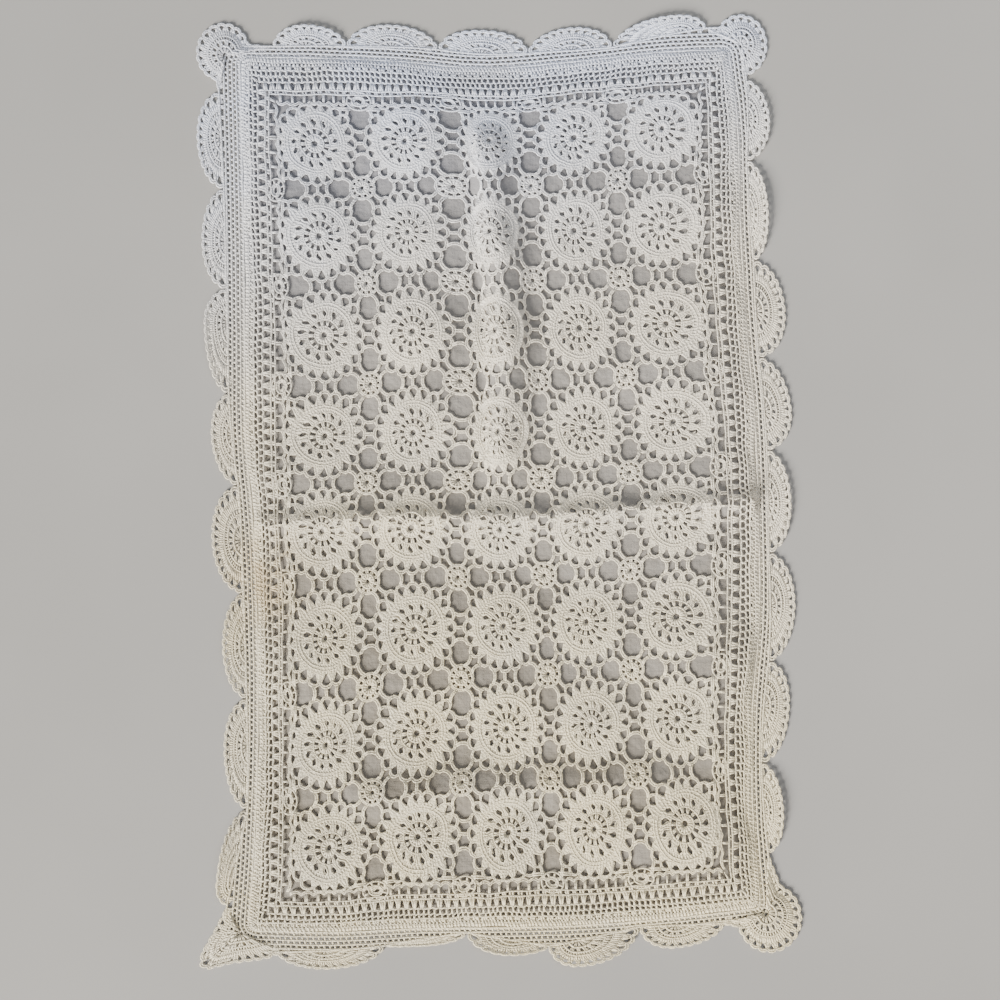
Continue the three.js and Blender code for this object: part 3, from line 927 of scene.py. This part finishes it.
def borderChain(work, distance, height, width, section="yarn", cell=None, zigzag=0.0):
    # a chain all round at one distance from the seam; zigzag pulls it in and out by half cells
    corners = []
    for side, length in sideLengths.items():
        run = length - 2 * distance
        count = 2 * cellCount(length, cell) if cell else round(run / border["chainStep"])
        along = distance + np.arange(count) / count * run
        if side in ("top", "left"):
            along = length - along
        sway = np.where(np.arange(count) % 2 == 0, zigzag, -zigzag) + jitter(along.shape, 0.2)
        corners.append(besideSeam(side, along, distance + sway))
    work.add(onFace(*np.concatenate(corners, axis=1), height)[None], width, section, closed=True)


def addBorderRosettes(work):
    pitch, margin = case["pitch"], case["margin"]
    for side, length in sideLengths.items():
        between = margin + pitch * (np.arange(round((length - 2 * margin) / pitch)) + 0.5)
        squeeze = (1.05, 0.8) if side in ("bottom", "top") else (0.78, 1.05)
        for along in between:
            addRosette(work, *besideSeam(side, along, border["rosetteLine"]), *squeeze)
            for way in (-1, 1):
                # from the loops of the wheel on each side to this rosette
                for angle, aside, deeper in ((turn * 3 / 20, 7.0, 7.0), (turn / 10, 9.0, 3.0)):
                    loopAlong = along + way * pitch / 2 - way * border["loopReach"] * math.cos(angle)
                    loopIn = margin - border["loopReach"] * math.sin(angle)
                    end = besideSeam(side, along + way * aside, border["rosetteLine"] + deeper)
                    chainBetween(work, *besideSeam(side, loopAlong, loopIn), *end)


def borderArches(work, feet, peak, cell, height, width):
    # chain loops that hang from one round of the border towards the wheels
    for side, length in sideLengths.items():
        count = cellCount(length, cell)
        part = np.linspace(0, 1, count * 4 + 1)
        arch = abs(np.sin(math.pi * part * count))
        for gap in (-border["archGap"], border["archGap"]):
            distance = feet + (peak - feet) * arch + gap
            along = np.clip(peak + (length - 2 * peak) * part, distance, length - distance)
            u, v = besideSeam(side, along, distance + jitter(along.shape, 0.12))
            work.add(onFace(u, v, height)[None], width)


def makeBorder():
    work = Crochet("crochetBorder")
    chain, row = partial(borderChain, work), partial(borderPosts, work)
    thin, inner = border["thinChain"], border["innerChain"]
    chain(1.6, 0.8, 4.6, "band")
    row((-0.2, 3.4), (1.2, 1.3), 2.7, "dense")
    chain(3.4, 1.1, 1.8)
    row((3.6, 6.6), (1.15, 1.25), (2.2, 2.6), "dense", shift=0.5)
    chain(6.5, 0.8, 2.2, "band")
    row((6.2, 8.2, 10.4), (1.15, 1.3, 1.15), (2.3, 2.6, 2.1), "faint", (-1, 0, 1), (1.9, 1.9, 1.7))
    chain(10.5, 1.15, 2.1, cell="small", zigzag=-0.35)
    row((10.6, 13.0, 15.2), (1.1, 1.2, 1.1), (2.8, 2.1, 2.8), "small")
    chain(15.5, 1.1, 1.9, cell="small", zigzag=0.65)
    row((15.8, 18.0, 20.2), (1.1, 1.2, 1.1), (2.8, 2.1, 2.8), "small", shift=0.5)
    chain(20.6, 1.15, 1.9, cell="small", zigzag=-0.4)
    row((20.6, 24.6, 28.4), 1.0, (3.3, 4.4, 6.8), "triangle", section="band")
    row((20.9, 24.6, 28.2), (1.2, 1.5, 1.3), (1.7, 2.0, 2.1), "triangle", (-1, 0, 1), (0.8, 1.4, 2.5))
    chain(28.5, 1.3, 1.8)
    row((28.6, thin), 1.0, 2.4, "triangle", (-0.5, 0.5), 2.4)
    chain(thin - 0.1, 1.3, 1.6)
    row((thin, inner - 1.6), 1.1, 1.4, "rectangle", (-0.5, 0.5), 1.0, skip=10, shift=0.5, section="yarn")
    borderArches(work, inner - 1.8, inner + 0.6, "rectangle", 1.1, 1.5)
    addBorderRosettes(work)
    return work.make()


crochetBorder = makeBorder()
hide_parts("crochet_face")
print("border is made")


# The edging: mm along a side and out from its seam for the dip before its scallops, then the same for
# each scallop's tip, how far that is lifted, and the dip after it
scallops = {
    "bottom": [
        (-223, 22),
        (-175, 38, 0, -114, 17), (-81, 19, 0, -31, 6), (16, 29, 2, 52, 21),
        (81, 42, 3, 144, 7), (181, 32, 0, 230, 12),
    ],
    "right": [
        (-369, 14),
        (-327, 32, 3, -278, 11), (-221, 39, 0, -175, 14), (-118, 38, 0, -64, 11),
        (-12, 35, 2, 42, 12), (82, 40, 0, 138, 11), (186, 43, 0, 239, 13),
        (288, 30, 4, 344, 9), (389, 35, 2, 429, 16),
    ],
    "top": [
        (218, 25),
        (191, 39, 3, 120, 12), (76, 38, 0, 32, 15), (-18, 42, 0, -62, 18),
        (-111, 40, 0, -158, 15), (-201, 36, 2, -235, 13),
    ],
    "left": [
        (416, 24),
        (369, 48, 0, 314, 21), (259, 45, 0, 209, 20), (175, 43, 2, 100, 18),
        (58, 37, 0, 5, 13), (-51, 45, 0, -106, 15), (-160, 37, 2, -213, 13),
        (-260, 36, 0, -325, 10), (-401, 37, 4, -421, 25),
    ],
}

# mm and degrees: the open fans at the bottom right, top right and top left, and the dips beside each
cornerFans = [
    {
        "heart": (272, -428), "middle": (276, -434), "radii": (33, 35), "reach": (195, 430),
        "dips": [("bottom", 225, 12), ("right", -369, 14)],
    },
    {
        "heart": (254, 466), "middle": (254, 466), "radii": (28, 33), "reach": (-85, 155),
        "dips": [("right", 429, 16), ("top", 218, 25)],
    },
    {
        "heart": (-284, 454), "middle": (-287, 459), "radii": (28, 31), "reach": (15, 255),
        "dips": [("top", -235, 13), ("left", 416, 24)],
    },
]

# mm: the fan at the bottom left corner is folded to a point
foldedFan = {
    "heart": (-260, -448),
    "outline": [
        (-275, -423), (-287, -447), (-300, -469), (-302, -482),
        (-295, -486), (-271, -480), (-234, -475), (-216, -469),
    ],
}

edging = {
    "meshPitch": 5.6,  # mm
    "slitPitch": 11.2,
    "rungStep": 3.0,
    "chainStep": 5.5,
    "outerEdge": 60,  # more than the strip is wide anywhere
    "turned": (8, 82),  # degrees of a corner that the rungs turn through
    "postRoom": 1.8,  # mm of strip that a post needs
    "slitShare": 0.62,  # slits in a fan for each of its loops
    "rounds": (0.6, 4.9, 9.2, 13.5, 17.8),  # mm from the seam
    "loopLength": 10.0,
    "innerBend": 6,  # mm, how round the strip is at a corner of the case
    "squareness": 0.75,
    "cornerRise": 2.2,  # mm, how far a corner fan's heart lies above the strip
}


def besideCase(side, at, out):
    # mm in the plane, from a place along a side and a distance out from its seam
    x, y = seams[side]
    at, out = np.broadcast_arrays(np.asarray(at, float), out)
    if side in ("bottom", "top"):
        return at, np.interp(at, x, y) + (out if side == "top" else -out)
    return np.interp(at, y, x) + (out if side == "right" else -out), at


def stripWidth(side, at):
    # mm from the seam to the feet of the scallops
    ats, outs = zip(*sorted(row[-2:] for row in scallops[side]))
    return np.interp(at, ats, outs)


def edgingLadder():
    # the strip as rungs from the seam to its outer edge, all round, anticlockwise
    inner, outer = [], []
    bend = edging["innerBend"]
    leftX, leftY, rightX, rightY = sideSeams.values()
    for side, nextSide, start, end, turnFrom, inwards in (
        ("bottom", "right", leftX[0] + bend, rightX[0] - bend, -90, (0, 1)),
        ("right", "top", rightY[0] + bend, rightY[-1] - bend, 0, (-1, 0)),
        ("top", "left", rightX[-1] - bend, leftX[-1] + bend, 90, (0, -1)),
        ("left", "bottom", leftY[-1] - bend, leftY[0] + bend, 180, (1, 0)),
    ):
        at = np.linspace(start, end, int(abs(end - start) / edging["rungStep"]))
        width = stripWidth(side, at)
        for edge, out in ((inner, edging["rounds"][0]), (outer, width)):
            edge.append(np.stack(besideCase(side, at, out), axis=1))
        # round the corner after this side
        centre = inner[-1][-1] + bend * np.array(inwards)
        angles = np.radians(turnFrom + np.linspace(*edging["turned"], 9))
        heading = np.stack([np.cos(angles), np.sin(angles)], axis=1)
        share = np.linspace(0, 1, len(angles))[:, None]
        reach = width[-1] * (1 - share) + scallops[nextSide][0][1] * share
        square = 1 / np.maximum(abs(heading[:, :1]), abs(heading[:, 1:])) ** edging["squareness"]
        inner.append(centre + heading * bend)
        outer.append(centre + heading * (bend + reach) * square)
    return np.concatenate(inner), np.concatenate(outer)


ladderInner, ladderOuter = edgingLadder()
ladderMiddle = (ladderInner + ladderOuter) / 2
ladderSteps = np.hypot(*(np.roll(ladderMiddle, -1, axis=0) - ladderMiddle).T)
ladderRun = np.concatenate([[0], np.cumsum(ladderSteps)])
ladderWidth = np.hypot(*(ladderOuter - ladderInner).T)


def aroundStrip(run, values):
    return np.interp(run % ladderRun[-1], ladderRun, np.append(values, values[0]))


def onStrip(run, distance, height):
    # mm along the strip, and mm out from the seam as far as the strip's outer edge
    run, distance, height = np.broadcast_arrays(run, distance, height)
    share = np.minimum(distance / aroundStrip(run, ladderWidth), 1)
    places = []
    for axis in (0, 1):
        inner, outer = (aroundStrip(run, rungs[:, axis]) for rungs in (ladderInner, ladderOuter))
        places.append(inner + (outer - inner) * share)
    base = case["seamBase"] + (case["edgingBase"] - case["seamBase"]) * smooth(0, 1, share)
    return inFrame(*places, base + height)


def stripChain(work, distance, height, width, section="yarn"):
    run = np.linspace(0, ladderRun[-1], int(ladderRun[-1] / edging["chainStep"]), endpoint=False)
    work.add(onStrip(run, distance + jitter(run.shape, 0.15), height)[None], width, section, closed=True)


def stripPosts(work, start, end, pitch, height, width, sides=(0,), shift=0.0, section="stitch"):
    # left out where the strip is too narrow for them
    count = round(ladderRun[-1] / pitch)
    run = (np.arange(count) + shift) * ladderRun[-1] / count
    run = run[aroundStrip(run, ladderWidth) > start + edging["postRoom"]]
    run = (run[:, None] + np.asarray(sides)).reshape(-1, 1) + jitter((len(run) * len(sides), 2), 0.3)
    work.add(onStrip(run, np.array([start, end]), height), width, section)


def makeEdgingMesh():
    work = Crochet("edgingMesh")
    stripChain(work, 0.8, 0.7, 4.4, "band")
    rounds, edge = edging["rounds"], edging["outerEdge"]
    for i, distance in enumerate(rounds):
        stripChain(work, distance, 1.25, 2.0)
        if i < len(rounds) - 1:
            stripPosts(work, distance, rounds[i + 1], edging["meshPitch"], 1.0, 2.5, shift=0.5 * i)
    stripPosts(work, rounds[-1], edge, edging["slitPitch"], 0.8, 4.4, section="band")
    stripPosts(work, rounds[-1], edge, edging["slitPitch"], 1.1, 1.9, (-1, 1))
    stripChain(work, edge, 1.25, 2.0)
    return work.make()


def fanInside(heart, outline, lift=0, over=0):
    # places a stitch between a heart and an even walk round an outline, in mm; lift raises the middle
    # of the outline, and over raises the heart
    steps = np.hypot(*np.diff(outline, axis=0).T)
    length = steps.sum()
    walk = np.concatenate([[0], np.cumsum(steps)]) / length * math.pi

    def place(radius, angle, height):
        x, y = (at + radius * (np.interp(angle, walk, edge) - at) for at, edge in zip(heart, outline.T))
        rise = case["edgingBase"] + lift * radius * np.sin(np.clip(angle, 0, math.pi))
        rise = rise + over * (1 - smooth(0.35, 0.9, radius))
        return inFrame(x, y, rise + height)

    return place, length


def onScallop(side, before, scallop):
    (startAt, startOut), (tipAt, tipOut, lift, endAt, endOut) = before[-2:], scallop
    base = float(stripWidth(side, tipAt)) - 1.0
    angle = np.linspace(0, math.pi, 25)
    late = angle > math.pi / 2
    footAt, footOut = np.where(late, endAt, startAt), np.where(late, endOut, startOut)
    at = tipAt + abs(np.cos(angle)) * (footAt - tipAt)
    out = footOut + (tipOut - footOut) * np.sin(angle)
    heart = [float(x) for x in besideCase(side, tipAt, base)]
    return fanInside(heart, np.stack(besideCase(side, at, out), axis=1), lift)


def onCorner(fan):
    angles = np.radians(np.linspace(*fan["reach"], 24))
    circle = np.stack([np.cos(angles), np.sin(angles)], axis=1)
    arc = fan["middle"] + circle * fan["radii"]
    start, end = (np.array([besideCase(*dip)]) for dip in fan["dips"])
    return fanInside(fan["heart"], np.concatenate([start, arc, end]), over=edging["cornerRise"])


def fanStrands(length):
    # the rounds of one fan, in shares of its radius; its outline is length mm long
    reach = (0, math.pi)
    count = max(5, round(length / edging["loopLength"]))
    slits = max(5, round(count * edging["slitShare"]))
    half = math.pi / count / 2
    edge = (-half, math.pi + half)

    def fanPosts(number, radii, height, fills, section="stitch", sides=(0,), spread=0.0, within=reach):
        # fills are how much of the way to its neighbour each takes up, at each radius
        radii = np.array(radii)
        widths = length / number * radii * np.array(fills)
        aside = np.array(spread) * (within[1] - within[0]) / number * radii
        return posts(number, radii, height, widths, sides, aside, reach=within, section=section)

    net = (0.30, 0.38, 0.46)
    return [
        fanPosts(slits - 1, (0.09, 0.27), 0.85, (0.8, 0.62), "band"),
        fanPosts(slits - 1, (0.09, 0.27), 1.05, (0.4, 0.3), sides=(-0.5, 0.5), spread=0.32),
        ring(0.29, slits * 2, 1.15, 2.2, reach=reach),
        fanPosts(slits, net, 0.85, (0.9, 0.5, 0.8), "band"),
        fanPosts(slits, net, 1.05, (0.35, 0.24, 0.3), sides=(-0.5, 0.5), spread=(0.5, 0.26, 0.5)),
        ring(0.475, count + 4, 1.1, 2.0, reach=reach),
        fanPosts(count * 2, (0.48, 0.58), 1.0, (0.62, 0.66)),
        ring(0.595, count * 2, 1.1, 1.7, reach=reach),
        fanPosts(count * 2, (0.59, 0.78), 0.85, (1.15, 1.1), "band"),
        fanPosts(count * 3, (0.60, 0.77), 1.05, (0.75, 0.75)),
        fanPosts(count + 1, (0.75, 0.90), (0.9, 1.0), (1.05, 0.4), "band", within=edge),
        fanPosts(count + 1, (0.76, 0.90), (1.1, 1.2), (0.26, 0.16), "stitch", (-1, 0, 1), (0.3, 0.11), edge),
        loops(0.905, [0.965] * count, 1.15, 2.0, 0.023, reach=reach),
    ]


def makeFans():
    work = Crochet("edgingFans")
    fans = [onScallop(side, *pair) for side, rows in scallops.items() for pair in zip(rows, rows[1:])]
    fans += [onCorner(fan) for fan in cornerFans]
    folded = np.array(foldedFan["outline"])
    fans.append(fanInside(foldedFan["heart"], folded, over=edging["cornerRise"]))
    for place, length in fans:
        work.addRounds(fanStrands(length), place)
    return work.make()


edgingMesh = makeEdgingMesh()
edgingFans = makeFans()
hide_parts("lace_edging")
print("edging is made")
for holder in sectionHolders.values():
    bpy.data.objects.remove(holder)

work = bmesh.new()
bmesh.ops.create_grid(work, x_segments=1, y_segments=1, size=floorLook["reach"])
placed("floor", meshFrom(work, "floor", makeFloorFinish()))
